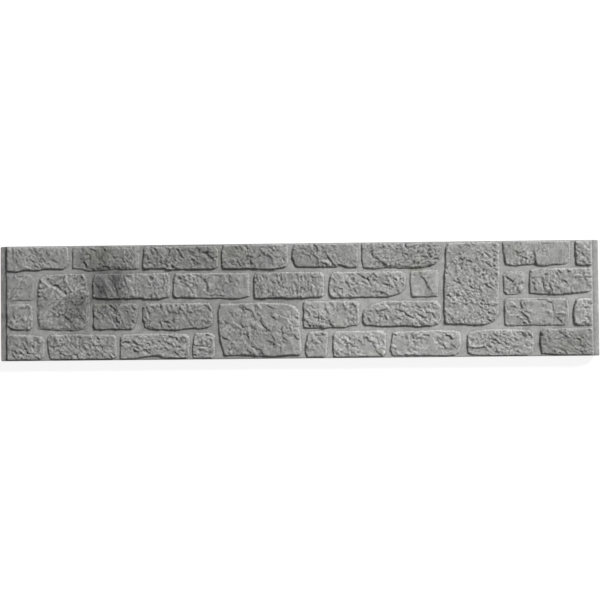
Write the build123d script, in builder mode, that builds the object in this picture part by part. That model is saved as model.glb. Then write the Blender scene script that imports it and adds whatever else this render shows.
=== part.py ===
"""A precast concrete fence slab with a rough stonework face, lying on its plain back.

Millimetres, +Z up. X runs along the slab and Y up its face as it stands in a fence. The origin is the
middle of the back, which is the flat face that it lies on. The slab is one casting: a plate whose two
ends are thinned to tongues for the grooves of the posts, and stones that stand out of the mortar level.
"""

import os

from build123d import *

# The whole slab
LENGTH = 2000
HEIGHT = 385
MORTAR_LEVEL = 32
TONGUE_THICKNESS = 28
TONGUE_LENGTH = 19
TONGUE_SHOULDER = 3
CORNER_RADIUS = 4

# How a stone leaves the mortar: a steep flank, then a worn edge that leans further in
FLANK_TAPER = 22
FLANK_SHARE = 0.62
EDGE_TAPER = 50
CORNER = 7
FLAKE_TAPER = 40
FLAKE_CORNER = 5

# Stones by course, A at the top to D at the bottom, and from left to right. Each has how far it stands
# out of the mortar and its outline at the mortar, counter-clockwise. Outlines are measured from the
# slab's left end and bottom edge.
STONES = {
    "A1": (7.0, [(22, 300), (60, 299), (88, 304), (130, 302), (154, 307), (212, 306), (227, 313),
                 (232, 332), (230, 384), (22, 384)]),
    "A2": (5.0, [(243, 307), (270, 306), (302, 299), (336, 299), (386, 305), (420, 302), (468, 304),
                 (470, 384), (246, 384)]),
    "A3": (7.0, [(478, 304), (552, 304), (563, 301), (724, 301), (734, 312), (735, 366), (724, 380),
                 (484, 380)]),
    "A4": (7.5, [(746, 301), (800, 300), (826, 302), (872, 298), (922, 298), (958, 304), (969, 318),
                 (969, 384), (752, 384), (744, 360)]),
    "A5": (7.0, [(991, 305), (1030, 304), (1128, 303), (1142, 309), (1156, 304), (1176, 300), (1197, 300),
                 (1201, 310), (1201, 383), (990, 383), (981, 362), (980, 342)]),
    "A6": (5.5, [(1218, 299), (1256, 295), (1278, 297), (1292, 300), (1336, 297), (1412, 297),
                 (1442, 302), (1462, 312), (1475, 328), (1477, 368), (1466, 384), (1213, 384),
                 (1213, 330)]),
    "A7": (7.0, [(1488, 109), (1550, 108), (1592, 104), (1630, 108), (1656, 118), (1666, 138),
                 (1668, 200), (1671, 270), (1671, 372), (1662, 381), (1502, 381), (1492, 366),
                 (1491, 320), (1486, 250), (1485, 160)]),
    "A8": (6.0, [(1691, 304), (1722, 301), (1745, 302), (1786, 306), (1796, 301), (1816, 299),
                 (1846, 302), (1890, 304), (1905, 312), (1907, 384), (1681, 384), (1684, 345)]),
    "A9": (7.0, [(1923, 307), (1930, 300), (1978, 299), (1978, 384), (1922, 384), (1922, 345)]),
    "B1": (3.5, [(22, 202), (104, 202), (113, 210), (114, 278), (104, 289), (22, 289)]),
    "B2": (4.5, [(126, 106), (200, 101), (252, 100), (284, 104), (298, 120), (302, 162), (301, 226),
                 (294, 246), (293, 274), (284, 290), (226, 291), (158, 289), (136, 278), (127, 256),
                 (125, 238), (125, 216)]),
    "B3": (7.5, [(311, 212), (320, 207), (380, 204), (462, 204), (478, 207), (490, 202), (538, 202),
                 (550, 207), (568, 207), (572, 216), (572, 280), (563, 290), (320, 290), (312, 276)]),
    "B4": (6.5, [(581, 212), (592, 207), (632, 206), (700, 202), (746, 204), (766, 201), (806, 201),
                 (838, 208), (839, 288), (590, 289), (583, 272)]),
    "B5": (7.5, [(853, 200), (934, 202), (985, 200), (1024, 200), (1044, 204), (1082, 203), (1087, 214),
                 (1087, 278), (1078, 289), (862, 289), (852, 278)]),
    "B6": (7.0, [(1108, 203), (1122, 200), (1230, 201), (1300, 201), (1338, 211), (1356, 230),
                 (1361, 262), (1358, 280), (1345, 288), (1120, 288), (1107, 272), (1102, 245),
                 (1102, 218)]),
    "B7": (5.5, [(1377, 200), (1466, 200), (1468, 290), (1428, 291), (1374, 287), (1373, 252)]),
    "B8": (5.0, [(1684, 212), (1692, 205), (1728, 205), (1744, 214), (1754, 228), (1753, 276),
                 (1744, 284), (1698, 282), (1682, 272)]),
    "B9": (6.5, [(1768, 209), (1800, 206), (1862, 202), (1880, 204), (1948, 209), (1966, 213),
                 (1978, 222), (1978, 292), (1790, 292), (1771, 288), (1768, 240)]),
    "C1": (6.0, [(22, 122), (34, 109), (56, 104), (76, 103), (102, 104), (109, 113), (109, 180),
                 (99, 191), (22, 191)]),
    "C2": (7.0, [(316, 108), (326, 102), (445, 102), (454, 122), (463, 156), (464, 182), (454, 190),
                 (318, 190), (312, 178), (315, 146), (313, 122)]),
    "C3": (7.0, [(484, 112), (500, 102), (560, 99), (604, 99), (638, 103), (652, 105), (666, 101),
                 (698, 104), (712, 116), (715, 142), (714, 172), (702, 189), (492, 190), (480, 178),
                 (479, 148)]),
    "C4": (7.0, [(752, 11), (840, 11), (856, 8), (922, 6), (962, 10), (1004, 11), (1010, 20),
                 (1010, 58), (1005, 90), (1005, 150), (990, 174), (960, 184), (880, 189), (800, 186),
                 (736, 185), (731, 158), (734, 100), (738, 62)]),
    "C5": (6.5, [(1017, 103), (1032, 100), (1096, 100), (1114, 103), (1132, 100), (1156, 101),
                 (1180, 108), (1198, 108), (1204, 118), (1204, 180), (1194, 191), (1018, 191),
                 (1015, 172), (1018, 146), (1014, 122)]),
    "C6": (7.0, [(1215, 124), (1224, 108), (1262, 104), (1308, 103), (1348, 106), (1396, 101),
                 (1444, 103), (1466, 110), (1475, 126), (1475, 170), (1462, 189), (1290, 190),
                 (1246, 178), (1220, 160), (1214, 146)]),
    "C7": (5.5, [(1685, 108), (1692, 101), (1722, 100), (1770, 103), (1830, 102), (1886, 102),
                 (1898, 114), (1900, 146), (1896, 182), (1886, 193), (1696, 193), (1684, 186)]),
    "C8": (8.0, [(1915, 110), (1926, 101), (1972, 100), (1978, 106), (1978, 190), (1940, 193),
                 (1924, 186), (1915, 168), (1913, 140)]),
    "D1": (6.0, [(22, 3), (136, 4), (148, 12), (150, 70), (140, 82), (98, 89), (22, 90)]),
    "D2": (6.5, [(166, 6), (176, 3), (380, 4), (391, 13), (391, 78), (382, 86), (250, 88), (170, 88),
                 (158, 76), (159, 40)]),
    "D3": (6.5, [(402, 4), (446, 4), (486, 9), (504, 13), (522, 14), (540, 9), (560, 4), (626, 4),
                 (635, 14), (636, 76), (626, 87), (540, 88), (468, 87), (414, 86), (403, 78)]),
    "D4": (6.0, [(647, 4), (712, 3), (720, 12), (721, 76), (712, 88), (656, 88), (650, 78), (645, 34)]),
    "D5": (6.5, [(1031, 3), (1088, 3), (1095, 16), (1098, 50), (1099, 82), (1092, 90), (1038, 90),
                 (1030, 80), (1022, 44), (1023, 18)]),
    "D6": (6.0, [(1117, 7), (1128, 3), (1280, 3), (1290, 12), (1291, 78), (1282, 90), (1126, 90),
                 (1115, 80), (1114, 30)]),
    "D7": (6.0, [(1310, 8), (1326, 4), (1400, 6), (1480, 4), (1520, 6), (1536, 14), (1541, 42),
                 (1540, 74), (1528, 88), (1450, 91), (1380, 88), (1314, 86), (1308, 52), (1304, 24)]),
    "D8": (5.5, [(1562, 14), (1576, 6), (1612, 3), (1764, 3), (1778, 12), (1781, 42), (1780, 74),
                 (1768, 87), (1700, 91), (1640, 91), (1578, 85), (1562, 76), (1560, 42)]),
    "D9": (6.5, [(1807, 8), (1836, 5), (1900, 3), (1978, 3), (1978, 92), (1816, 92), (1803, 82),
                 (1801, 46)]),
}

# The larger cleft layers that lie on those stones: how far each stands above its stone, and its outline.
FLAKES = {
    "A2": (2.0, [(304, 306), (386, 311), (420, 308), (463, 310), (464, 378), (282, 378), (280, 350),
                 (290, 326)]),
    "A3": (1.0, [(700, 356), (728, 336), (729, 366), (720, 374), (668, 374), (680, 364)]),
    "A6": (2.0, [(1304, 305), (1410, 303), (1440, 308), (1458, 318), (1469, 332), (1471, 366),
                 (1462, 378), (1248, 378), (1250, 352), (1262, 334), (1280, 320)]),
    "A8": (1.5, [(1799, 307), (1816, 305), (1836, 308), (1836, 326), (1822, 336), (1792, 338),
                 (1793, 322)]),
    "B2": (2.0, [(132, 112), (200, 107), (280, 110), (292, 124), (296, 162), (294, 232), (266, 240),
                 (240, 229), (218, 220), (192, 243), (164, 260), (142, 270), (132, 256), (127, 236),
                 (131, 212)]),
    "B7": (1.5, [(1437, 206), (1461, 206), (1462, 284), (1430, 285), (1412, 284), (1416, 268),
                 (1428, 250), (1438, 228)]),
    "B8": (1.5, [(1748, 242), (1747, 272), (1740, 277), (1700, 276), (1690, 268), (1706, 259),
                 (1722, 244)]),
    "C7": (1.5, [(1766, 112), (1842, 108), (1850, 154), (1842, 176), (1832, 186), (1746, 187),
                 (1742, 150), (1756, 134)]),
}

LEFT = -LENGTH / 2
BOTTOM = -HEIGHT / 2


def in_slab(points):
    """Points measured from the slab's left end and bottom edge, in the slab's own frame."""
    return [(LEFT + x, BOTTOM + y) for x, y in points]


def raised(points, level, amount, taper, corner):
    """A block with rounded corners that stands on a level and draws in as it rises."""
    with BuildPart() as block:
        with BuildSketch(Plane.XY.offset(level)):
            with BuildLine():
                FilletPolyline(*in_slab(points), radius=corner, close=True)
            make_face()
        extrude(amount=amount, taper=taper)
    return block.part


def stone(height, points):
    """One stone: its steep flank, and on that the worn edge round its top."""
    flank_height = height * FLANK_SHARE
    with BuildPart() as block:
        add(raised(points, MORTAR_LEVEL, flank_height, FLANK_TAPER, CORNER))
        extrude(block.faces().sort_by(Axis.Z)[-1], amount=height - flank_height, taper=EDGE_TAPER)
    return block.part


with BuildPart() as fence_slab:
    # The plate's section along the slab, with a sloped step down to the tongue at each end
    end = LENGTH / 2
    step_foot = end - TONGUE_LENGTH
    step_top = step_foot - TONGUE_SHOULDER
    with BuildSketch(Plane.XZ.offset(-HEIGHT / 2)):
        Polygon(
            (-end, 0), (end, 0), (end, TONGUE_THICKNESS), (step_foot, TONGUE_THICKNESS),
            (step_top, MORTAR_LEVEL), (-step_top, MORTAR_LEVEL), (-step_foot, TONGUE_THICKNESS),
            (-end, TONGUE_THICKNESS),
            align=None,
        )
    extrude(amount=HEIGHT)
    # The plate's four corners as seen from its face
    fillet(fence_slab.edges().filter_by(Axis.Z), radius=CORNER_RADIUS)
    # The stones, and the thicker layers left on some of them
    add([stone(height, outline) for height, outline in STONES.values()])
    add([raised(outline, MORTAR_LEVEL + STONES[name][0], height, FLAKE_TAPER, FLAKE_CORNER)
         for name, (height, outline) in FLAKES.items()])

fence_slab.part.label = "fence_slab"
os.makedirs("parts", exist_ok=True)
export_step(fence_slab.part, "parts/fence_slab.step")
print("volume in litres:", round(fence_slab.part.volume / 1e6, 2))
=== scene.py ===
"""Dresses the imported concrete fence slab: one cast piece with a split-stone face, in grey concrete.

Lengths in the relief are millimetres, measured from the slab's left end and bottom edge, as in its source.
The mesh itself is in metres, in the model's own frame.
"""

import math

import bmesh
import bpy
import numpy as np
from mathutils import Euler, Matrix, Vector, noise
from mathutils.bvhtree import BVHTree
from mathutils.geometry import delaunay_2d_cdt


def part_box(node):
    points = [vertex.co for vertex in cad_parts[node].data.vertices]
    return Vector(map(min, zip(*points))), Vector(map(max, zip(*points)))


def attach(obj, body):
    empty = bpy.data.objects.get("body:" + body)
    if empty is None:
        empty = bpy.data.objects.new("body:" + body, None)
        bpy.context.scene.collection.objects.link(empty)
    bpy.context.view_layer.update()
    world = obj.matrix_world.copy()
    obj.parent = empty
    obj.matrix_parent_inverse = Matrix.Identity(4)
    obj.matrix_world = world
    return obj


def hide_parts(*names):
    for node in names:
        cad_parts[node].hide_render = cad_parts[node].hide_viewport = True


# Spacing of the mesh's points, how far they are jittered, the rings of them along a stone's outline, the
# length over which a side is split by the hundred, and the points of a corner
LOOP_STEP = 3.1
STONE_STEP = 3.35
JOINT_STEP = 4.6
EDGE_STEP = 4.0
BACK_STEP = 13.0
JITTER = 0.22
RINGS = (-2.2, 0.0, 1.3, 3.0, 5.2)
LONG_SIDE = 100
CORNER_POINTS = 4

# Room that is left between the groups of points, and how far round a stone it is looked after
JOINT_MARGIN = 2
BACK_MARGIN = 8
JOINT_GAP = 4.2
STEP_GAP = 1.5
RING_GAP = 0.62 * STONE_STEP
LIP_TO_RING = 0.5 * STONE_STEP
LIP_TO_LIP = 1.2
LIP_TO_INNER = 0.66 * STONE_STEP
NEAR_STONE = 8

# The plate, as in the model
MORTAR_LEVEL = 32.0
TONGUE_LEVEL = 28.0
STEP_FOOT = 19.0
STEP_TOP = 22.0
TOP_LEVEL = 40.0
CORNER_RADIUS = 4.0
ARRIS = 1.0
RIM_GAP = 1.7
SLICE_ABOVE = 0.05
SIDE_RINGS = (1.0, 0.75, 0.5, 0.25, 0.0)

# Unevenness of the cast faces: the sides, the back, and the mortar's swells and ripples
SIDE_DENT = 0.35
BACK_LIFT = 0.25
SWELL = 0.25
RIPPLE = 0.18

# A stone's outline wanders off the model's in long and short waves, and so do its cleft layers. Its worn
# edge has a width, which varies, and a roundness. Further in than the flank, the model's levels count.
LONG_WAVE = 1.5
SHORT_WAVE = 1.3
LAYER_WAVE = 1.6
EDGE_WIDTH = 6.0
EDGE_SPREAD = 2.4
EDGE_ROUNDNESS = 2.4
FLANK = 5.5
FACE = 8

# Heights in a stone's split texture, the sizes of its pits and patches, how far it lies below the model's
# face, and how far in from the outline it reaches its height
FACET = 1.6
CHIP = 1.2
RIDGE = 1.6
PIT = 1.5
PIT_SIZE = 5.0
PATCH_SIZE = 34
PATCH_CONTRAST = 2.4
BELOW_FACE = 1.3
TEXTURE_FADE = 5

# Split texture of each stone: the turn of its grain in degrees, the size of its facets and its strength
GRAIN = {
    "A1": (-60, 22, 0.9), "A2": (-75, 17, 1.1), "A3": (-45, 20, 1.2), "A4": (-50, 17, 1.2),
    "A5": (-55, 20, 1.1), "A6": (20, 15, 1.2), "A7": (-35, 14, 1.2), "A8": (80, 20, 0.9),
    "A9": (10, 15, 1.2), "B1": (60, 30, 1.1), "B2": (35, 24, 1.3), "B3": (-65, 22, 1.2),
    "B4": (-70, 24, 1.0), "B5": (-80, 16, 1.2), "B6": (-40, 17, 1.1), "B7": (70, 30, 0.6),
    "B8": (40, 14, 1.1), "B9": (-70, 20, 1.0), "C1": (45, 20, 1.1), "C2": (-55, 18, 1.3),
    "C3": (-60, 19, 1.1), "C4": (-45, 26, 1.1), "C5": (-65, 20, 1.1), "C6": (-30, 17, 1.1),
    "C7": (-20, 24, 0.8), "C8": (15, 20, 1.2), "D1": (-50, 17, 1.1), "D2": (-40, 15, 1.1),
    "D3": (-10, 16, 1.1), "D4": (0, 15, 1.1), "D5": (-50, 24, 0.9), "D6": (-50, 20, 1.0),
    "D7": (-25, 24, 0.9), "D8": (-20, 20, 1.0), "D9": (-30, 17, 1.2),
}

# The concrete's colour, and tones as shares of it: the left one changes to the right one over a length
CONCRETE = (0.30, 0.30, 0.297, 1)
OLIVE_CONCRETE = (0.295, 0.295, 0.262, 1)
JOINT_TONE = 1.13
LEFT_TONE = 0.96
RIGHT_TONE = 1.26
CHANGE_FROM = 850
CHANGE_OVER = 250
# Dirt and painted shade in the hollows of the relief, and a painted highlight on its rises: the share per
# millimetre of height off the ground around, and its limits
DIRT_SHADE_AND_HIGHLIGHT = 0.35
DIRT_SHADE_AND_HIGHLIGHT_LIMITS = (0.62, 1.3)
SIDE_TONE = 1.0
MOTTLE = 0.17
MOTTLE_SIZE = 26
# Painted shade over the sloped face of the right-hand step, which faces the lamp: how much light it takes
RIGHT_STEP_SHADE = 0.16
STONE_TONE = {
    "A3": 0.95, "A5": 0.85, "A6": 0.9, "B3": 0.97, "C2": 0.9, "B4": 1.05, "C4": 1.05, "D3": 1.1, "D4": 1.15,
    "C8": 1.1, "D6": 1.1, "D7": 1.1, "D8": 1.05, "D9": 0.9,
}

# Clefts that the photograph shows, stone by stone. Each is a strength in millimetres and a line. The ground
# steps down away from the light where the strength is positive, and towards it where it is negative.
CLEFTS = {}
CLEFTS["A1"] = (
    (1, 45, 378, 45, 358, 49, 340), (1.2, 66, 371, 70, 364, 73, 360), (1, 59, 342, 61, 327),
    (0.9, 103, 344, 110, 338, 115, 330, 124, 321), (0.9, 118, 373, 131, 363, 143, 349, 153, 333),
    (1.2, 160, 368, 169, 353, 176, 341, 190, 332), (-1.6, 86, 318, 102, 314),
)
CLEFTS["A2"] = (
    (1.6, 276, 352, 281, 338, 286, 327, 297, 314), (1.3, 298, 380, 312, 372, 330, 368),
    (1.3, 345, 382, 355, 369), (2, 344, 317, 356, 317, 371, 311), (1, 395, 350, 396, 333),
)
CLEFTS["A3"] = (
    (1.4, 485, 352, 497, 350, 502, 337), (1, 516, 379, 530, 366, 533, 356), (1, 540, 344, 545, 324),
    (-1.4, 554, 376, 551, 350, 549, 328, 557, 306), (1.5, 567, 381, 573, 366, 574, 348),
    (1.2, 559, 337, 569, 323), (1.4, 578, 318, 583, 312), (-1.3, 611, 338, 628, 341, 641, 334, 652, 325),
    (1.1, 655, 335, 663, 325, 675, 318), (-1, 655, 363, 662, 351, 690, 352, 701, 342, 705, 330),
    (1.8, 662, 379, 670, 367, 674, 358, 690, 357), (1.8, 699, 351, 709, 344, 718, 338, 728, 328),
    (1, 699, 364, 714, 356), (-1, 684, 382, 712, 376),
)
CLEFTS["A4"] = (
    (1, 793, 377, 799, 367), (1.1, 806, 381, 816, 373), (1.4, 819, 383, 833, 372), (1, 812, 366, 817, 361),
    (1, 834, 346, 850, 338), (1.8, 840, 334, 850, 320, 861, 309), (-1.2, 855, 320, 868, 306),
    (-1.1, 858, 351, 872, 341, 887, 332), (1.8, 880, 366, 883, 356, 890, 348),
    (1.8, 894, 347, 909, 342, 915, 330, 917, 317), (-1.4, 918, 344, 924, 331, 930, 317, 937, 308),
    (1.3, 923, 343, 933, 339), (1.2, 903, 376, 914, 369, 916, 360),
)
CLEFTS["A5"] = (
    (1.2, 1022, 368, 1028, 358), (1.7, 1055, 384, 1063, 371, 1067, 358), (1, 1079, 384, 1082, 369),
    (1.8, 1050, 348, 1060, 338, 1066, 328, 1070, 316), (1, 1034, 345, 1041, 339),
    (1.6, 1093, 358, 1098, 343, 1107, 330, 1116, 315), (-1.3, 1103, 346, 1117, 334),
    (1, 1075, 322, 1100, 312),
)
CLEFTS["A6"] = (
    (1.2, 1244, 353, 1251, 340), (1, 1243, 367, 1249, 358),
    (0.8, 1268, 333, 1279, 326, 1283, 316, 1293, 307, 1304, 303), (1.1, 1273, 371, 1287, 364),
    (1.1, 1286, 345, 1292, 338), (1.3, 1317, 320, 1327, 312), (1.7, 1346, 374, 1349, 355),
    (-1.2, 1355, 380, 1353, 361), (1.3, 1356, 384, 1363, 373, 1366, 363),
    (1.8, 1354, 347, 1364, 345, 1372, 336), (-1.3, 1361, 337, 1372, 328, 1380, 321),
    (1, 1356, 334, 1364, 321), (1.7, 1378, 356, 1386, 347, 1392, 338), (1.2, 1376, 346, 1381, 329),
    (1.2, 1392, 383, 1391, 364), (-1.1, 1398, 384, 1398, 362), (1.6, 1406, 378, 1420, 371),
    (1.1, 1400, 349, 1412, 347, 1418, 355), (1.9, 1414, 339, 1425, 334, 1440, 339, 1452, 334, 1464, 328),
    (-1.4, 1416, 322, 1438, 325, 1460, 324), (1.3, 1414, 314, 1426, 311),
    (1.3, 1430, 318, 1443, 316, 1440, 307), (1.1, 1382, 321, 1391, 314),
)
CLEFTS["A7"] = (
    (1.8, 1521, 258, 1530, 250, 1541, 248), (1.1, 1520, 230, 1529, 221),
    (1.7, 1518, 217, 1530, 209, 1537, 202), (1.9, 1537, 331, 1546, 326, 1551, 317),
    (1.3, 1553, 332, 1564, 323), (1.9, 1569, 322, 1579, 316), (2.2, 1592, 331, 1600, 323),
    (1.2, 1613, 335, 1619, 327), (1.5, 1636, 307, 1646, 300), (1.9, 1578, 296, 1590, 292, 1597, 284),
    (1.2, 1642, 280, 1654, 267), (1.1, 1544, 255, 1562, 252), (1.8, 1622, 244, 1636, 243, 1649, 237),
    (1.5, 1630, 237, 1641, 231), (1.1, 1603, 238, 1611, 222), (1.1, 1556, 230, 1564, 221),
    (1.1, 1577, 379, 1588, 373), (1.1, 1653, 349, 1660, 330, 1667, 308),
    (1.7, 1630, 174, 1642, 170, 1656, 174), (1.6, 1633, 146, 1646, 142, 1657, 146),
    (1.2, 1630, 124, 1656, 122), (1.7, 1499, 146, 1505, 132, 1520, 125, 1540, 124),
)
CLEFTS["A8"] = (
    (-1.3, 1694, 330, 1703, 309), (1.2, 1722, 353, 1734, 345, 1752, 350), (1, 1726, 338, 1742, 335),
    (1.5, 1753, 331, 1763, 325), (1.1, 1781, 349, 1796, 341), (2.4, 1786, 340, 1790, 324, 1794, 307),
    (1.6, 1806, 384, 1812, 377, 1818, 371), (1.2, 1901, 364, 1905, 348),
)
CLEFTS["A9"] = (
    (1.4, 1928, 352, 1936, 345), (1.2, 1945, 338, 1954, 330), (1.2, 1932, 322, 1940, 316),
    (-1.2, 1955, 362, 1966, 350), (1.2, 1958, 342, 1968, 334), (1, 1962, 326, 1970, 318),
)
CLEFTS["B1"] = (
    (-1, 25, 287, 48, 286),
)
CLEFTS["B2"] = (
    (1.3, 134, 276, 140, 264), (1.4, 127, 253, 130, 244, 141, 242),
    (-1.5, 140, 277, 153, 268, 165, 253, 186, 243, 204, 235, 212, 225, 222, 217),
    (1.9, 164, 277, 169, 264, 181, 256, 196, 250, 206, 243), (1.5, 217, 290, 217, 275, 215, 260),
    (-1.3, 223, 286, 227, 269, 232, 255, 240, 240), (1.2, 232, 288, 236, 282), (1.7, 273, 284, 281, 276),
    (1.3, 219, 232, 226, 223), (1.6, 194, 189, 211, 188), (-1.2, 218, 190, 217, 165, 206, 153),
    (1.5, 227, 179, 226, 160), (1.4, 217, 152, 223, 145, 232, 139), (-1.3, 254, 141, 271, 133),
    (1.7, 238, 130, 244, 121, 251, 113), (-1.2, 226, 124, 238, 111), (-1.8, 280, 165, 288, 158),
    (-1.3, 130, 136, 150, 136, 176, 134), (1.2, 236, 205, 250, 190), (1.2, 150, 212, 162, 206),
    (-2.6, 213, 215, 226, 220, 243, 229, 257, 238, 275, 243), (1.6, 221, 212, 222, 186, 219, 160),
)
CLEFTS["B3"] = (
    (-1.8, 356, 262, 366, 252, 374, 243, 381, 231), (1.8, 372, 274, 384, 258, 394, 240, 400, 224),
    (-1.2, 316, 219, 331, 211), (2, 418, 276, 423, 262, 427, 250, 432, 238), (-1.1, 410, 285, 408, 270),
    (1, 427, 283, 440, 281), (-1, 438, 269, 453, 257), (-1, 503, 270, 511, 257, 512, 248),
    (1, 510, 276, 521, 262), (1.3, 510, 255, 518, 247, 525, 240), (1.1, 524, 223, 528, 212),
    (-1, 488, 213, 504, 207), (1.2, 438, 215, 460, 213, 472, 207), (1.3, 336, 282, 346, 264),
    (1, 352, 232, 360, 220), (1, 330, 250, 338, 238), (1, 562, 240, 566, 228),
    (-3.8, 357, 267, 366, 252, 378, 235), (3, 350, 262, 359, 247, 369, 231),
)
CLEFTS["B4"] = (
    (-1.1, 590, 218, 600, 210), (1, 616, 267, 623, 262), (-1.9, 628, 260, 636, 255, 645, 250),
    (1.4, 628, 247, 646, 242), (1.3, 640, 272, 650, 258, 654, 244), (-1.2, 634, 240, 642, 229, 648, 216),
    (1, 640, 239, 649, 225), (-1.1, 635, 284, 655, 283), (1.1, 660, 286, 671, 281),
    (1, 664, 241, 668, 228, 672, 219), (1.8, 690, 276, 695, 262, 699, 247, 704, 238),
    (1, 705, 284, 735, 283), (1.2, 753, 268, 750, 245, 753, 228), (-1.1, 757, 270, 770, 256),
    (1.3, 770, 284, 781, 270), (1.1, 770, 268, 777, 260), (1.2, 710, 214, 735, 214, 755, 211),
    (1, 798, 264, 804, 254),
)
CLEFTS["B5"] = (
    (1, 864, 281, 865, 264), (1.7, 893, 272, 899, 263), (-1.1, 902, 263, 909, 254),
    (1.3, 915, 255, 924, 252), (-1, 911, 249, 926, 239), (1.3, 926, 281, 933, 276),
    (1.2, 872, 244, 877, 231), (1.8, 938, 245, 952, 240, 965, 236), (1.3, 923, 240, 921, 223),
    (1.1, 880, 227, 889, 211), (-1.1, 890, 229, 899, 212), (1, 900, 229, 907, 214),
    (1.1, 934, 219, 945, 208), (-1.1, 966, 286, 966, 264), (1.6, 996, 284, 1002, 268, 1002, 248),
    (1.3, 992, 252, 997, 237, 1003, 225), (2, 1001, 226, 1012, 219), (1.3, 1009, 242, 1014, 234),
    (-1.1, 1030, 272, 1029, 235), (1.2, 1036, 271, 1035, 232), (1.2, 1044, 243, 1045, 222),
    (-1.1, 1048, 247, 1055, 241), (1.2, 1045, 274, 1058, 270, 1060, 256), (1, 1069, 274, 1073, 260),
    (1.4, 1061, 232, 1067, 224), (-1, 985, 212, 1018, 209),
)
CLEFTS["B6"] = (
    (-1.2, 1114, 280, 1122, 273), (1.1, 1120, 262, 1128, 252), (1.1, 1144, 254, 1157, 252),
    (1.2, 1180, 280, 1186, 270, 1190, 262), (1.5, 1203, 281, 1215, 272, 1221, 266),
    (2.2, 1232, 266, 1236, 253), (1.3, 1254, 264, 1262, 257), (1.1, 1252, 277, 1263, 270),
    (-1.3, 1200, 256, 1214, 246, 1225, 234), (-1.3, 1255, 255, 1266, 243, 1274, 232),
    (1.9, 1285, 248, 1300, 245, 1313, 237), (1.1, 1296, 263, 1304, 250),
    (1.4, 1328, 260, 1338, 248, 1353, 243), (1.2, 1188, 236, 1193, 223), (1.1, 1166, 251, 1174, 242),
    (1.9, 1250, 222, 1265, 220, 1279, 218), (1.3, 1329, 228, 1337, 218), (1.2, 1283, 218, 1301, 207),
    (1.2, 1126, 238, 1148, 230), (-1.1, 1112, 216, 1124, 208), (1.3, 1121, 225, 1131, 212),
    (-1.1, 1138, 222, 1150, 214),
)
CLEFTS["B7"] = (
    (1.2, 1408, 285, 1413, 273, 1421, 259, 1428, 247, 1434, 235, 1441, 224),
    (1, 1431, 220, 1440, 215, 1450, 216), (0.6, 1383, 276, 1393, 270), (-0.7, 1384, 216, 1397, 211),
)
CLEFTS["B8"] = (
    (1.2, 1700, 259, 1713, 251, 1723, 240), (-1, 1690, 260, 1698, 250, 1705, 242),
    (1.5, 1738, 282, 1747, 274), (1, 1736, 266, 1745, 260), (1.1, 1712, 240, 1719, 228),
    (1.1, 1692, 226, 1704, 222), (1.8, 1732, 219, 1739, 212),
)
CLEFTS["B9"] = (
    (1.1, 1773, 264, 1802, 263), (1.2, 1784, 257, 1790, 247), (1.8, 1782, 245, 1788, 238),
    (1, 1785, 233, 1790, 224), (1.7, 1815, 242, 1818, 232, 1822, 222), (1.2, 1820, 243, 1826, 236),
    (2.2, 1841, 240, 1841, 226, 1845, 213), (1.6, 1844, 251, 1850, 245), (1, 1850, 230, 1868, 228),
    (1.6, 1867, 287, 1876, 276), (-1.1, 1862, 286, 1868, 273), (1.5, 1900, 284, 1907, 278),
    (1.2, 1860, 263, 1871, 254, 1880, 251), (1.8, 1879, 255, 1888, 246), (-1.2, 1881, 249, 1886, 245),
    (1.2, 1888, 245, 1899, 239), (-1.1, 1869, 241, 1880, 230, 1897, 228),
    (-1.8, 1918, 270, 1945, 268, 1972, 269), (1.8, 1920, 261, 1946, 262, 1972, 261),
    (2.2, 1835, 241, 1838, 226, 1836, 210),
)
CLEFTS["C1"] = (
    (1, 94, 176, 95, 157), (1, 46, 178, 45, 158, 49, 146), (-1.2, 43, 140, 51, 131, 61, 126),
    (-1.3, 70, 161, 81, 154, 89, 141), (1.2, 76, 143, 81, 130), (-1.2, 71, 129, 80, 118),
    (1, 99, 143, 105, 135),
)
CLEFTS["C2"] = (
    (1.3, 376, 183, 385, 172, 398, 163), (1, 412, 178, 423, 167, 433, 157), (-1.1, 399, 171, 407, 163),
    (1.3, 400, 150, 407, 144), (1.9, 391, 140, 397, 125, 403, 113), (-1, 386, 120, 392, 107),
    (1, 381, 141, 386, 127), (1.5, 444, 134, 451, 127), (-1, 445, 124, 451, 114), (1.4, 366, 155, 369, 145),
    (1, 446, 180, 451, 170),
)
CLEFTS["C3"] = (
    (1.6, 495, 178, 501, 165), (1.1, 511, 177, 525, 164), (1.2, 541, 185, 549, 166),
    (-1.8, 552, 180, 560, 164, 567, 149), (1.7, 560, 177, 573, 160), (1.1, 572, 180, 582, 166),
    (1.6, 551, 131, 562, 127, 573, 123), (1.5, 580, 133, 587, 124), (1.1, 584, 143, 590, 134),
    (-1.7, 607, 185, 614, 176, 620, 166), (1.7, 602, 172, 616, 161), (1.2, 574, 161, 590, 157, 606, 153),
    (1.2, 622, 162, 642, 156), (1.1, 652, 133, 652, 116), (1.1, 666, 165, 677, 156),
    (1.1, 678, 155, 688, 146), (2.2, 690, 183, 699, 174, 707, 166), (-1.1, 701, 186, 712, 175),
    (1.5, 689, 126, 702, 124), (1.4, 566, 113, 576, 107),
)
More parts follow.
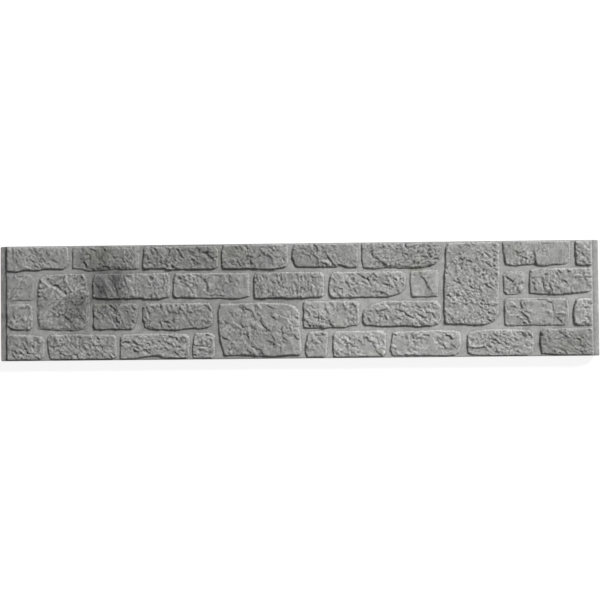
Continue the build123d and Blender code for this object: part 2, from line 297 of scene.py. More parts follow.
CLEFTS["C4"] = (
    (1.1, 775, 155, 786, 139), (-1.1, 778, 133, 791, 121, 799, 113),
    (1.4, 818, 173, 830, 168, 842, 160, 849, 153), (-1.2, 847, 175, 852, 157), (1.2, 860, 182, 867, 166),
    (-1.6, 869, 184, 877, 171), (1.2, 900, 176, 912, 172, 921, 167), (1.1, 813, 146, 822, 140),
    (1.1, 911, 141, 922, 135, 937, 129), (1.4, 877, 136, 880, 121, 885, 109),
    (2.4, 884, 107, 894, 101, 906, 96), (-2.2, 863, 119, 870, 111, 877, 101), (-1.2, 799, 112, 813, 104),
    (1.1, 811, 121, 818, 107), (1.6, 831, 82, 833, 70), (1.7, 914, 79, 920, 68, 922, 58),
    (1.6, 899, 58, 920, 56), (1.1, 891, 64, 897, 58), (1.6, 945, 102, 948, 88, 948, 74),
    (1.1, 948, 119, 951, 110), (1.7, 950, 68, 960, 60, 972, 51), (1.5, 935, 57, 949, 55),
    (-1.6, 926, 54, 940, 46), (-2, 926, 151, 946, 143, 965, 136, 973, 124, 981, 115),
    (2, 971, 102, 978, 87, 987, 78, 995, 71, 1001, 63), (-1.3, 984, 96, 996, 84, 1004, 75),
    (-2, 824, 58, 836, 45, 849, 35, 857, 25, 863, 15), (1.6, 842, 43, 855, 39, 867, 29),
    (1.9, 844, 28, 849, 18, 855, 9), (1.9, 869, 36, 878, 25, 888, 15, 896, 8), (1.2, 941, 42, 943, 20),
    (1.6, 932, 14, 946, 9), (1.2, 744, 79, 754, 71, 771, 61), (-1.2, 742, 66, 752, 58),
)
CLEFTS["C5"] = (
    (1.6, 1026, 163, 1034, 153, 1041, 146), (-1.5, 1023, 146, 1033, 137), (1, 1042, 166, 1048, 154),
    (-1, 1046, 139, 1058, 132), (1.8, 1050, 143, 1062, 136, 1078, 132, 1094, 128, 1114, 121),
    (1.2, 1099, 157, 1107, 144), (-1, 1104, 154, 1111, 142), (1.6, 1029, 127, 1036, 115),
    (-1.1, 1024, 119, 1029, 110), (1.7, 1034, 111, 1060, 109, 1086, 106), (1.6, 1106, 116, 1118, 104),
    (1.7, 1150, 181, 1155, 166, 1163, 158), (1.1, 1184, 184, 1192, 169), (1, 1156, 156, 1157, 140),
    (1.2, 1179, 138, 1187, 131),
)
CLEFTS["C6"] = (
    (1.2, 1228, 158, 1247, 154), (-1.6, 1261, 166, 1270, 161), (1.4, 1259, 159, 1270, 155),
    (1.3, 1274, 160, 1290, 160, 1305, 153), (-1.6, 1292, 179, 1305, 167), (1.1, 1308, 179, 1331, 178),
    (2.2, 1338, 158, 1350, 155, 1359, 142), (1.9, 1361, 147, 1371, 138), (1.6, 1289, 140, 1298, 127),
    (1.3, 1300, 145, 1308, 131, 1316, 119), (1.4, 1311, 134, 1323, 129), (-1.2, 1298, 140, 1309, 120),
    (1.1, 1324, 141, 1340, 127), (1.5, 1233, 133, 1241, 121),
    (1.8, 1389, 180, 1398, 171, 1409, 165, 1423, 168), (1.2, 1430, 172, 1446, 167),
    (1.3, 1443, 181, 1456, 174), (1.1, 1424, 157, 1433, 144), (1.8, 1439, 148, 1448, 142, 1456, 135),
    (1.5, 1401, 146, 1413, 134), (1.1, 1378, 137, 1391, 129), (1.1, 1350, 129, 1347, 118),
    (1.6, 1364, 125, 1371, 117), (1.6, 1362, 113, 1380, 109), (-1.1, 1392, 122, 1402, 109),
    (1.5, 1407, 114, 1416, 107), (1.5, 1419, 113, 1431, 106),
)
CLEFTS["C7"] = (
    (1, 1720, 191, 1732, 186), (-1.1, 1709, 184, 1719, 174), (1.6, 1706, 171, 1713, 166, 1724, 167),
    (1.1, 1696, 166, 1704, 161), (-1.4, 1692, 161, 1701, 151),
    (-1.7, 1704, 140, 1735, 140, 1746, 130, 1757, 118), (-1.6, 1734, 158, 1750, 146),
    (2, 1740, 148, 1748, 141, 1755, 130), (1.6, 1741, 177, 1745, 162, 1751, 151),
    (1.1, 1751, 177, 1757, 167), (1, 1759, 179, 1768, 167), (1.5, 1760, 132, 1769, 120),
    (1, 1769, 147, 1779, 128), (1, 1741, 123, 1751, 112), (1.9, 1799, 189, 1824, 187, 1836, 183, 1843, 177),
    (1.3, 1842, 176, 1846, 163, 1851, 151), (-1.6, 1837, 151, 1858, 146, 1882, 148, 1893, 139),
    (1.2, 1864, 143, 1876, 138, 1886, 132), (1.7, 1861, 130, 1867, 119, 1873, 113),
    (1.1, 1888, 181, 1891, 161), (1, 1826, 146, 1834, 143), (-1, 1692, 116, 1698, 108),
)
CLEFTS["C8"] = (
    (-1.9, 1941, 190, 1945, 176, 1954, 168), (-1.1, 1952, 188, 1974, 187), (-1.2, 1928, 176, 1929, 148),
    (1.7, 1946, 163, 1963, 162), (1.5, 1968, 179, 1977, 175), (1.1, 1953, 131, 1966, 126),
    (1, 1974, 142, 1975, 130), (1, 1962, 124, 1975, 111),
)
CLEFTS["D1"] = (
    (-1, 62, 87, 84, 87, 108, 86), (-1.2, 95, 85, 98, 72), (1.5, 82, 79, 89, 65, 93, 55),
    (1.2, 54, 76, 60, 68), (1.9, 84, 49, 91, 34, 97, 26, 108, 28), (-1, 107, 38, 117, 31),
    (1.4, 34, 43, 50, 35, 60, 28, 79, 25), (1.3, 117, 69, 130, 60),
)
CLEFTS["D2"] = (
    (1.6, 169, 50, 183, 45), (1, 171, 73, 184, 71), (1.4, 189, 52, 203, 51, 218, 57), (1, 185, 69, 193, 59),
    (-1, 174, 61, 183, 53), (-1.2, 191, 42, 203, 37), (1.3, 242, 58, 250, 51), (-1.1, 238, 45, 252, 38),
    (1.5, 219, 17, 238, 18, 256, 21), (-1.1, 262, 77, 263, 40), (1.1, 268, 72, 269, 44),
    (1.1, 262, 18, 268, 9), (1.4, 248, 79, 256, 72), (1.6, 267, 80, 276, 71), (1, 299, 77, 307, 70),
    (1.1, 278, 61, 297, 58), (1.4, 279, 50, 286, 42), (1.7, 303, 63, 315, 57, 327, 50),
    (-1.1, 315, 66, 326, 59), (1.7, 336, 51, 348, 38), (-1.5, 324, 45, 335, 36, 343, 29),
    (1.1, 322, 41, 331, 32), (1.1, 341, 31, 346, 19), (1, 360, 72, 361, 54), (1.7, 294, 25, 303, 18),
    (1.3, 269, 29, 273, 17), (-1.3, 275, 24, 290, 16), (1, 203, 30, 212, 23),
)
CLEFTS["D3"] = (
    (2, 404, 57, 415, 60, 440, 59), (-1.3, 414, 50, 432, 50, 448, 49), (1.1, 450, 77, 468, 77),
    (1.9, 454, 58, 465, 54, 482, 46), (2, 485, 58, 498, 56, 506, 51, 509, 45), (-1.3, 507, 61, 513, 49),
    (-1.3, 482, 48, 490, 34), (1.6, 451, 40, 459, 33), (1, 463, 42, 471, 37),
    (1.6, 464, 29, 474, 32, 486, 36), (1.2, 488, 48, 493, 37), (1.1, 501, 33, 512, 29),
    (-1.3, 545, 82, 557, 72, 567, 62), (1.6, 568, 80, 583, 77, 598, 70), (-1.1, 587, 73, 595, 63),
    (1.6, 618, 74, 629, 60), (1.5, 564, 60, 576, 51, 588, 41), (-1, 580, 56, 591, 49),
    (-1.1, 593, 37, 622, 33), (1.1, 608, 30, 623, 28), (1.2, 553, 47, 562, 35), (1, 525, 65, 537, 63),
    (1.1, 530, 23, 548, 26), (1.5, 590, 27, 600, 19), (-1, 590, 11, 616, 10), (-1, 572, 19, 581, 13),
)
CLEFTS["D4"] = (
    (1.2, 660, 77, 669, 66), (1.6, 676, 64, 680, 55), (1.5, 695, 82, 706, 80), (-1.2, 702, 86, 716, 82),
    (-1.1, 700, 76, 716, 72), (1.3, 705, 69, 711, 59), (1, 689, 63, 696, 57), (1.5, 648, 52, 655, 48),
    (1.1, 662, 48, 688, 47, 702, 43), (-1.6, 663, 42, 688, 41, 702, 36), (1.1, 670, 33, 682, 30),
    (1.2, 702, 30, 711, 24),
)
CLEFTS["D5"] = (
    (1.8, 1043, 67, 1055, 58, 1068, 48), (-1.6, 1054, 66, 1069, 54), (1.2, 1070, 68, 1077, 56),
    (-1.5, 1030, 53, 1041, 43), (1, 1038, 81, 1046, 74), (1.1, 1054, 80, 1086, 79), (1, 1081, 31, 1087, 24),
    (0.9, 1040, 34, 1052, 26),
)
CLEFTS["D6"] = (
    (-1.2, 1122, 66, 1128, 52), (-1.1, 1129, 43, 1142, 29), (-1.5, 1156, 69, 1166, 59),
    (1.3, 1160, 69, 1180, 66, 1196, 61, 1213, 51), (1, 1210, 48, 1218, 42), (1.6, 1224, 71, 1233, 63),
    (1.8, 1231, 59, 1241, 54, 1252, 49), (1.1, 1249, 46, 1258, 32, 1265, 13), (1, 1170, 49, 1180, 41),
    (1.1, 1164, 43, 1173, 27, 1180, 17), (1.1, 1138, 21, 1166, 15), (-1.1, 1204, 16, 1218, 11),
)
CLEFTS["D7"] = (
    (-1.6, 1312, 45, 1323, 36), (1.4, 1311, 80, 1322, 77), (1, 1315, 33, 1323, 28),
    (-1.6, 1372, 88, 1371, 54), (1.9, 1379, 73, 1387, 65, 1405, 63), (1.4, 1411, 75, 1432, 77),
    (1.1, 1463, 69, 1472, 60, 1482, 56), (1.8, 1487, 74, 1499, 72, 1511, 59),
    (1.9, 1482, 47, 1487, 34, 1497, 27), (1.9, 1507, 44, 1517, 37, 1527, 30), (1.2, 1318, 19, 1329, 11),
)
CLEFTS["D8"] = (
    (1.7, 1643, 50, 1653, 44), (1.5, 1654, 55, 1661, 48), (1.3, 1663, 50, 1671, 43),
    (1.8, 1679, 54, 1689, 49, 1699, 36), (1.6, 1654, 34, 1657, 20), (1, 1660, 65, 1668, 59),
    (1, 1632, 70, 1662, 70, 1688, 65, 1712, 50), (1.1, 1714, 79, 1722, 69), (-1.1, 1709, 81, 1713, 70),
    (1.1, 1715, 64, 1726, 54), (1.5, 1752, 83, 1756, 67), (1.7, 1766, 82, 1777, 64), (1, 1732, 78, 1738, 72),
    (1.1, 1627, 41, 1641, 34), (1, 1710, 32, 1726, 23, 1737, 10), (-1.1, 1757, 34, 1774, 32),
    (1.2, 1566, 36, 1572, 28), (2.2, 1562, 33, 1585, 30, 1618, 33), (-1.6, 1560, 41, 1590, 38, 1620, 41),
    (1.8, 1742, 82, 1751, 70), (1.8, 1758, 83, 1767, 72),
)
CLEFTS["D9"] = (
    (1.4, 1818, 90, 1827, 87), (-1.2, 1811, 86, 1818, 77), (1.4, 1810, 79, 1814, 67),
    (1.3, 1806, 59, 1815, 57), (-1.6, 1889, 81, 1896, 71, 1906, 62, 1924, 58), (1, 1865, 84, 1873, 78),
    (1.1, 1930, 57, 1938, 46),
)

# Stains: centre, reach each way, and how much of the light they take
STAINS = (
    (335, 345, 85, 50, 0.26), (352, 352, 30, 45, 0.2), (370, 246, 54, 60, 0.2), (304, 240, 12, 70, 0.22),
    (385, 196, 90, 12, 0.3), (336, 244, 24, 60, 0.34), (398, 246, 17, 50, 0.4), (350, 232, 15, 16, 0.28),
    (384, 266, 14, 16, 0.28), (390, 295, 100, 10, 0.18), (258, 155, 46, 56, 0.38), (262, 205, 40, 30, 0.18),
    (610, 352, 110, 42, 0.16), (800, 345, 60, 45, 0.14), (395, 150, 70, 45, 0.14), (575, 150, 90, 45, 0.12),
    (895, 350, 60, 45, 0.08), (730, 296, 60, 9, 0.12), (900, 293, 70, 9, 0.12), (940, 195, 60, 9, 0.14),
    (1390, 330, 60, 40, 0.08), (1385, 293, 30, 9, 0.14), (1560, 345, 60, 45, 0.1), (1725, 350, 40, 36, 0.07),
    (1890, 34, 100, 40, 0.16), (1950, 60, 30, 22, 0.08), (24, 200, 26, 230, 0.12), (9, 190, 11, 220, 0.32),
    (1130, 110, 34, 18, 0.05), (978, 270, 15, 22, 0.22), (1043, 262, 18, 26, 0.15), (768, 255, 30, 30, 0.12),
    (508, 345, 30, 40, 0.12), (695, 350, 30, 30, 0.12), (1040, 345, 20, 40, 0.1), (1650, 250, 40, 60, 0.05),
    (1240, 246, 60, 40, 0.05), (840, 60, 120, 60, 0.05), (430, 335, 40, 40, 0.1), (1026, 300, 6, 12, 0.16),
    (1133, 295, 4, 9, 0.1),
)

# Smoother ground: centre, reach each way, and how much of the split texture is missing there
SMOOTH = (
    (205, 345, 32, 36, 0.6), (262, 335, 18, 40, 0.6), (685, 331, 8, 14, 0.8), (1078, 361, 7, 10, 0.8),
    (1000, 345, 14, 34, 0.6), (1168, 345, 36, 40, 0.7), (1236, 325, 28, 30, 0.8), (1868, 345, 44, 40, 0.75),
    (812, 246, 30, 40, 0.75), (731, 246, 20, 30, 0.4), (982, 260, 16, 28, 0.8), (1320, 215, 34, 16, 0.6),
    (1405, 246, 26, 44, 0.6), (1448, 246, 20, 44, 0.6), (1702, 264, 14, 8, 0.8), (1720, 268, 26, 14, 0.5),
    (56, 162, 11, 13, 0.8), (550, 144, 15, 7, 0.8), (950, 165, 60, 18, 0.6), (1256, 166, 34, 16, 0.7),
    (1356, 123, 7, 6, 0.8), (66, 246, 44, 42, 0.3), (170, 200, 34, 30, 0.3), (180, 280, 22, 10, 0.7),
    (1800, 145, 34, 34, 0.7), (1720, 120, 30, 12, 0.7), (1940, 246, 34, 30, 0.6), (1340, 55, 26, 30, 0.6),
    (1170, 85, 50, 12, 0.5), (1240, 34, 30, 24, 0.4), (760, 170, 26, 16, 0.5), (765, 150, 24, 26, 0.4),
    (1150, 150, 40, 28, 0.4), (430, 120, 20, 14, 0.4), (1060, 38, 26, 26, 0.5), (1740, 50, 30, 30, 0.3),
)

# Olive growth: centre, reach each way and strength
OLIVE = (
    (335, 352, 90, 36, 0.7), (345, 181, 34, 12, 0.9), (380, 200, 80, 14, 0.4), (610, 355, 90, 30, 0.6),
    (790, 352, 55, 36, 0.6), (570, 160, 80, 34, 0.4), (1395, 320, 26, 30, 0.6), (1385, 292, 34, 10, 0.6),
    (1720, 355, 36, 32, 0.5), (1130, 112, 34, 18, 0.5), (1255, 14, 32, 14, 0.6), (1900, 34, 90, 36, 0.5),
    (1060, 340, 50, 24, 0.3), (255, 170, 46, 44, 0.3), (980, 258, 20, 26, 0.25), (950, 192, 60, 12, 0.4),
    (1560, 350, 60, 40, 0.25), (730, 340, 12, 30, 0.4),
)

# The lamp stands to the upper right of the face and low over it
KEY_AZIMUTH = 50
KEY_ELEVATION = 30
KEY_SPREAD = 11
KEY_POWER = 5.0
SKY = 0.21
TO_LIGHT = np.array([math.cos(math.radians(KEY_AZIMUTH)), math.sin(math.radians(KEY_AZIMUTH))])

# The floor as the light meets it, and as the camera sees it: a glow and the part that keeps the shadow
FLOOR = (0.8, 0.8, 0.8, 1)
FLOOR_GLOW = 0.87
FLOOR_SHADED = (0.22, 0.22, 0.22, 1)

# The photograph's viewpoint in metres, and its small turns away from straight down in degrees
CAMERA_PLACE = (0.0505, -0.0378, 2.8144)
CAMERA_TURNS = (0.821, 0.916, -0.604)

# A cleft's step: half its width, its height per unit of strength, how far off the ground levels out and is
# still worked out, the fade past its ends, the groove along its foot, its points, and its painted shade and
# highlight
CLEFT_WIDTH = 1.1
CLEFT_HEIGHT = 1.6
CLEFT_REACH = 9
CLEFT_BOX = 22
CLEFT_END = 3.5
GROOVE_WIDTH = 2.2
GROOVE_DEPTH = 0.3
CLEFT_STEP = 2.9
CLEFT_WANDER = 4.0
CLEFT_SHADING_WIDTH = 2.4
CLEFT_SHADING = 0.15

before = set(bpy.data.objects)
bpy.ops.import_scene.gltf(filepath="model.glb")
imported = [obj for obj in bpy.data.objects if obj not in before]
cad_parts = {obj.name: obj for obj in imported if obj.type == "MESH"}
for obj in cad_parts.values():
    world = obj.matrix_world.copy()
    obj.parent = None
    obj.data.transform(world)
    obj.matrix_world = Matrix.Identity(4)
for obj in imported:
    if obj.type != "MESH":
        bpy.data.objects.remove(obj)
bpy.context.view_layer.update()
tree = BVHTree.FromObject(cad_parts["fence_slab"], bpy.context.evaluated_depsgraph_get())
low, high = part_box("fence_slab")
LENGTH = (high[0] - low[0]) * 1000
HEIGHT = (high[1] - low[1]) * 1000
rng = np.random.default_rng(7)


def to_slab(points):
    """Frame metres to millimetres from the left end and the bottom edge."""
    return np.asarray(points)[:, :2] * 1000 + (LENGTH / 2, HEIGHT / 2)


def smooth(t):
    """An eased step from 0 to 1."""
    t = np.clip(t, 0.0, 1.0)
    return t * t * (3 - 2 * t)


def turned(points, size, turn, stretch):
    """Places along and across a grain, in sizes of its marks. It is turned from the slab's length."""
    c = math.cos(math.radians(turn))
    s = math.sin(math.radians(turn))
    along = (points[:, 0] * c + points[:, 1] * s) / (size * stretch)
    across = (points[:, 1] * c - points[:, 0] * s) / size
    return zip(along, across)


def fractal(points, size, seed, octaves=3, turn=0.0, stretch=1.0):
    """Fractal noise, roughly -1 to 1, stretched along its grain."""
    places = turned(points, size, turn, stretch)
    return np.array([noise.fractal((a, b, seed), 0.8, 2.1, octaves) for a, b in places])


def drift(points, size, seeds, octaves):
    """Noise in both directions, to move points about."""
    return np.stack([fractal(points, size, seed, octaves) for seed in seeds], axis=1)


def close_to(points, shape, reach):
    """Which points lie in the box round a shape, widened by a reach."""
    inside = (points > shape.min(axis=0) - reach) & (points < shape.max(axis=0) + reach)
    return np.flatnonzero(inside.all(axis=1))


def distance_to(points, loop):
    """Distance from points to a closed loop, positive inside it."""
    best = np.full(len(points), np.inf)
    inside = np.zeros(len(points), bool)
    x, y = points.T
    for (ax, ay), (bx, by) in zip(loop, np.roll(loop, -1, axis=0)):
        dx = bx - ax
        dy = by - ay
        t = np.clip(((x - ax) * dx + (y - ay) * dy) / (dx * dx + dy * dy), 0, 1)
        best = np.minimum(best, (x - ax - t * dx) ** 2 + (y - ay - t * dy) ** 2)
        if ay != by:
            crossing = (ay > y) != (by > y)
            inside ^= crossing & (x < ax + (y - ay) * dx / dy)
    return np.sqrt(best) * np.where(inside, 1, -1)


def spaced(path, number, endpoint=True):
    """Evenly spaced points along a path. Their number is a function of its length."""
    run = np.concatenate([[0], np.cumsum(np.linalg.norm(np.diff(path, axis=0), axis=1))])
    at = np.linspace(0, run[-1], number(run[-1]), endpoint)
    return np.stack([np.interp(at, run, path[:, 0]), np.interp(at, run, path[:, 1])], axis=1)


def leftwards(along):
    """Unit normals to the left of some directions."""
    along = along / np.linalg.norm(along, axis=1)[:, None]
    return np.stack([-along[:, 1], along[:, 0]], axis=1)


def inward(loop):
    """Unit normals of a counter-clockwise loop, pointing inwards."""
    return leftwards(np.roll(loop, -1, axis=0) - np.roll(loop, 1, axis=0))


def stone_outlines():
    """The stones' outlines, cut from the model just above the mortar, each from its leftmost point."""
    bm = bmesh.new()
    bm.from_mesh(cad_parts["fence_slab"].data)
    bmesh.ops.remove_doubles(bm, verts=bm.verts, dist=1e-6)
    level = (MORTAR_LEVEL + SLICE_ABOVE) / 1000
    whole = bm.verts[:] + bm.edges[:] + bm.faces[:]
    cut = bmesh.ops.bisect_plane(bm, geom=whole, plane_co=(0, 0, level), plane_no=(0, 0, 1), dist=1e-7)
    edges = {e for e in cut["geom_cut"] if isinstance(e, bmesh.types.BMEdge)}
    loops = []
    while edges:
        edge = edges.pop()
        start = edge.verts[0]
        vert = edge.verts[1]
        loop = [start.co.copy()]
        while vert != start:
            loop.append(vert.co.copy())
            edge = next(e for e in vert.link_edges if e in edges)
            edges.remove(edge)
            vert = edge.other_vert(vert)
        loop = to_slab(loop)
        x, y = loop.T
        if np.dot(x, np.roll(y, -1)) < np.dot(y, np.roll(x, -1)):
            loop = loop[::-1]
        leftmost = np.lexsort((loop[:, 1], loop[:, 0]))[0]
        loops.append(np.roll(loop, -leftmost, axis=0))
    bm.free()
    return loops


def course(loop):
    """The letter of the course whose top a stone reaches."""
    top = loop[:, 1].max() / HEIGHT
    return "A" if top > 0.9 else "B" if top > 0.7 else "C" if top > 0.4 else "D"


def named_stones(loops):
    """The outlines by name: A1 is the first stone of the top course."""
    named = {}
    for letter in "ABCD":
        row = sorted((a for a in loops if course(a) == letter), key=lambda a: a[:, 0].min())
        for number, loop in enumerate(row, 1):
            named[letter + str(number)] = loop
    return named


def wavering(loop, seed):
    """An outline with evenly spaced points and the small unevenness of split stone."""
    points = spaced(np.vstack([loop, loop[:1]]), lambda length: int(length / LOOP_STEP), endpoint=False)
    shift = LONG_WAVE * fractal(points, 22, seed, 2) + SHORT_WAVE * fractal(points, 7, seed + 5, 1)
    moved = points + inward(points) * shift[:, None]
    moved[:, 1] = np.clip(moved[:, 1], RIM_GAP, HEIGHT - RIM_GAP)
    return moved


def hex_grid(low, high, step):
    """Jittered points of a triangular grid over a rectangle."""
    rows = np.arange(low[1], high[1], step * math.sqrt(0.75))
    parts = []
    for i, y in enumerate(rows):
        x = np.arange(low[0] + (i % 2) * step / 2, high[0], step)
        parts.append(np.stack([x, np.full(len(x), y)], axis=1))
    points = np.concatenate(parts)
    return points + rng.uniform(-JITTER, JITTER, points.shape) * step


def inner_grid(margin, step):
    """Such a grid over the whole plate but for its margin."""
    return hex_grid((margin, margin), (LENGTH - margin, HEIGHT - margin), step)


def plate_outline(inset):
    """The slab's outline from above, drawn in by an inset, with rounded corners."""
    radius = CORNER_RADIUS - inset
    low = CORNER_RADIUS
    right = LENGTH - CORNER_RADIUS
    top = HEIGHT - CORNER_RADIUS
    points = []
    for x, y, start in ((right, low, 270), (right, top, 0), (low, top, 90), (low, low, 180)):
        for angle in np.radians(start + np.linspace(0, 90, CORNER_POINTS)):
            points.append((x + radius * math.cos(angle), y + radius * math.sin(angle)))
    corners = np.array(points)
    parts = []
    for a, b in zip(corners, np.roll(corners, -1, axis=0)):
        side = abs(b - a).max()
        steps = max(round(np.linalg.norm(b - a) / EDGE_STEP), 1)
        if side > LONG_SIDE:
            steps = round(side / LONG_SIDE) * round(LONG_SIDE / EDGE_STEP)
        parts.append(a + (b - a) * (np.arange(steps) / steps)[:, None])
    return np.concatenate(parts)


def from_end(points):
    """Distance to the nearer end of the slab."""
    return np.minimum(points[:, 0], LENGTH - points[:, 0])


def plate_level(points):
    """The plate's front level: the tongues at the ends, the sloped step, and the mortar between."""
    rise = np.clip((from_end(points) - STEP_FOOT) / (STEP_TOP - STEP_FOOT), 0, 1)
    return TONGUE_LEVEL + (MORTAR_LEVEL - TONGUE_LEVEL) * rise


def facets(points, size, seed, turn, stretch):
    """Split faces: each cell of a Voronoi pattern is a plane with its own tilt and level."""
    result = np.empty(len(points))
    for i, (a, b) in enumerate(turned(points, size, turn, stretch)):
        here = Vector((a, b, seed))
        distances, cells = noise.voronoi(here)
        planes = []
        for cell in cells[:2]:
            tilt = noise.cell_vector(cell * 7.3) - Vector((0.5, 0.5, 0.5))
            planes.append(tilt.z * 0.8 + 1.6 * tilt.x * (here.x - cell.x) + 1.6 * tilt.y * (here.y - cell.y))
        share = 0.5 + 0.5 * min((distances[1] - distances[0]) / 0.12, 1.0)
        result[i] = planes[0] * share + planes[1] * (1 - share)
    return result


def jagged(numbers):
    """A drawn cleft as a broken line with a point every few millimetres."""
    path = np.reshape(numbers, (-1, 2)).astype(float)
    line = spaced(path, lambda length: max(round(length / CLEFT_STEP), 2) + 1)
    return line + CLEFT_WANDER * drift(line, 9, (3.3, 6.6), 3)


def cleft_lips(line):
    """Two rows of points along a cleft, one at the foot of its step and one at the head."""
    side = leftwards(np.gradient(line, axis=0)) * CLEFT_WIDTH
    return np.vstack([line + side, line - side])


def clefts(points, lines):
    """The steps of the drawn clefts, fading out past their ends and to their sides, and their painted shade
    and highlight.
    """
    total = np.zeros(len(points))
    painted_shading = np.zeros(len(points))
    broken = np.clip(0.95 + 1.5 * fractal(points, 12, 7.7, 3), 0.25, 1.7)
    for strength, *numbers in lines:
        path = jagged(numbers)
        near = close_to(points, path, CLEFT_BOX)
        here = points[near]
        best = np.full(len(near), np.inf)
        offset = np.zeros(len(near))
        beyond = np.zeros(len(near))
        for k, (a, b) in enumerate(zip(path, path[1:])):
            run = np.linalg.norm(b - a)
            along = (b - a) / run
            normal = np.array([-along[1], along[0]])
            normal *= 1 if normal @ TO_LIGHT > 0 else -1
            t = (here - a) @ along
            gap = np.linalg.norm(here - a - np.clip(t, 0, run)[:, None] * along, axis=1)
            closer = gap < best
            best = np.where(closer, gap, best)
            offset = np.where(closer, (here - a) @ normal, offset)
            before = -t if k == 0 else 0
            after = t - run if k == len(path) - 2 else 0
            beyond = np.where(closer, np.maximum(np.maximum(before, after), 0), beyond)
        side = offset if strength > 0 else -offset
        fade = abs(strength) * np.exp(-((beyond / CLEFT_END) ** 2)) * broken[near]
        step = (0.5 + 0.5 * np.tanh(side / (0.6 * CLEFT_WIDTH))) * np.exp(-abs(offset) / CLEFT_REACH)
        groove = GROOVE_DEPTH * np.exp(-(((side + CLEFT_WIDTH) / GROOVE_WIDTH) ** 2))
        total[near] += CLEFT_HEIGHT * fade * (step - groove)
        # Shade painted at the foot of a step turned from the light, and a painted highlight where the step
        # faces it
        at_foot = np.exp(-(((side + 0.4 * CLEFT_WIDTH) / CLEFT_SHADING_WIDTH) ** 2))
        painted_shading[near] += fade * at_foot * (1.0 if strength > 0 else -0.6)
    return total, painted_shading


def blobs(points, spots, seed, wander=16):
    """The summed strength of soft, ragged patches."""
    x, y = (points + wander * drift(points, 40, (seed, seed + 9), 3)).T
    total = np.zeros(len(points))
    for middle_x, middle_y, reach_x, reach_y, strength in spots:
        total += strength * np.exp(-(((x - middle_x) / reach_x) ** 2 + ((y - middle_y) / reach_y) ** 2))
    return total


def hollows(z, faces):
    """How far each point lies above the ground around it."""
    corners = np.array(faces)
    pairs = np.concatenate([corners[:, [0, 1]], corners[:, [1, 2]], corners[:, [2, 0]]])
    pairs = np.concatenate([pairs, pairs[:, ::-1]])
    level = z
    for _ in range(2):
        total = np.bincount(pairs[:, 0], level[pairs[:, 1]], len(z))
        level = total / np.maximum(np.bincount(pairs[:, 0], minlength=len(z)), 1)
    return z - level


def ray_levels(points):
    """The model's height in millimetres below each point, seen from above."""
    levels = np.empty(len(points))
    down = Vector((0, 0, -1))
    for i, (x, y) in enumerate(points):
        above = Vector(((x - LENGTH / 2) / 1000, (y - HEIGHT / 2) / 1000, 1))
        hit = tree.ray_cast(above, down)[0]
        levels[i] = hit.z * 1000 if hit else 0.0
    return levels


def triangulated(points, edges):
    """Points and triangles over a set of points, and each given point's number among them."""
    placed, _, faces, origin, _, _ = delaunay_2d_cdt([Vector(a) for a in points], edges, [], 1, 1e-4, True)
    numbers = {i: v for v, sources in enumerate(origin) for i in sources}
    return np.array([tuple(v) for v in placed]), [tuple(f) for f in faces], numbers


def band(upper, lower):
    """The faces between two rings of points."""
    following = np.roll(range(len(upper)), -1)
    return [(upper[i], lower[i], lower[j], upper[j]) for i, j in enumerate(following)]


def closed_edges(loop, first=0):
    """The edges of a closed loop whose points are numbered from the first."""
    return [(first + i, first + (i + 1) % len(loop)) for i in range(len(loop))]


def build_front(stones):
    """Points and triangles of the front, with the stones' outlines as edges of the mesh."""
    rim = plate_outline(ARRIS)
    points = [rim]
    edges = closed_edges(rim)
    rim_low = rim.min(axis=0)
    rim_high = rim.max(axis=0)

    def clear_of_rim(p, gap):
        return ((p > rim_low + gap) & (p < rim_high - gap)).all(axis=1)

    for x in (STEP_FOOT, STEP_TOP, LENGTH - STEP_TOP, LENGTH - STEP_FOOT):
        y = np.arange(6, HEIGHT - 4, EDGE_STEP)
        points.append(np.stack([np.full(len(y), x), y], axis=1))
    joint = inner_grid(JOINT_MARGIN, JOINT_STEP)
    joint = joint[clear_of_rim(joint, 2.0)]
    for place in (STEP_FOOT, STEP_TOP):
        joint = joint[abs(from_end(joint) - place) > STEP_GAP]
    keep = np.ones(len(joint), bool)
    for name, loop in stones.items():
        near = close_to(joint, loop, NEAR_STONE)
        keep[near] &= distance_to(joint[near], loop) < -JOINT_GAP
        normals = inward(loop)
        for ring in RINGS:
            line = loop + normals * ring
            if ring:
                gap = distance_to(line, loop)
                line = line[(gap * np.sign(ring) > 0.8 * abs(ring)) & clear_of_rim(line, 0.7)]
            else:
                edges += closed_edges(line, sum(map(len, points)))
            points.append(line)
        inner = hex_grid(loop.min(axis=0), loop.max(axis=0), STONE_STEP)
        inner = inner[distance_to(inner, loop) > RINGS[-1] + RING_GAP]
        lips = np.zeros((0, 2))
        for _, *numbers in CLEFTS[name]:
            lines = cleft_lips(jagged(numbers))
            lines = lines[distance_to(lines, loop) > RINGS[-1] + LIP_TO_RING]
            for line in lines:
                if not len(lips) or np.linalg.norm(lips - line, axis=1).min() > LIP_TO_LIP:
                    lips = np.vstack([lips, line])
        if len(lips):
            gap = np.array([np.linalg.norm(lips - a, axis=1).min() for a in inner])
            inner = inner[gap > LIP_TO_INNER]
        points += [inner, lips]
    points.append(joint[keep])
    flat, faces, numbers = triangulated(np.concatenate(points), edges)
    return flat, faces, [numbers[i] for i in range(len(rim))]


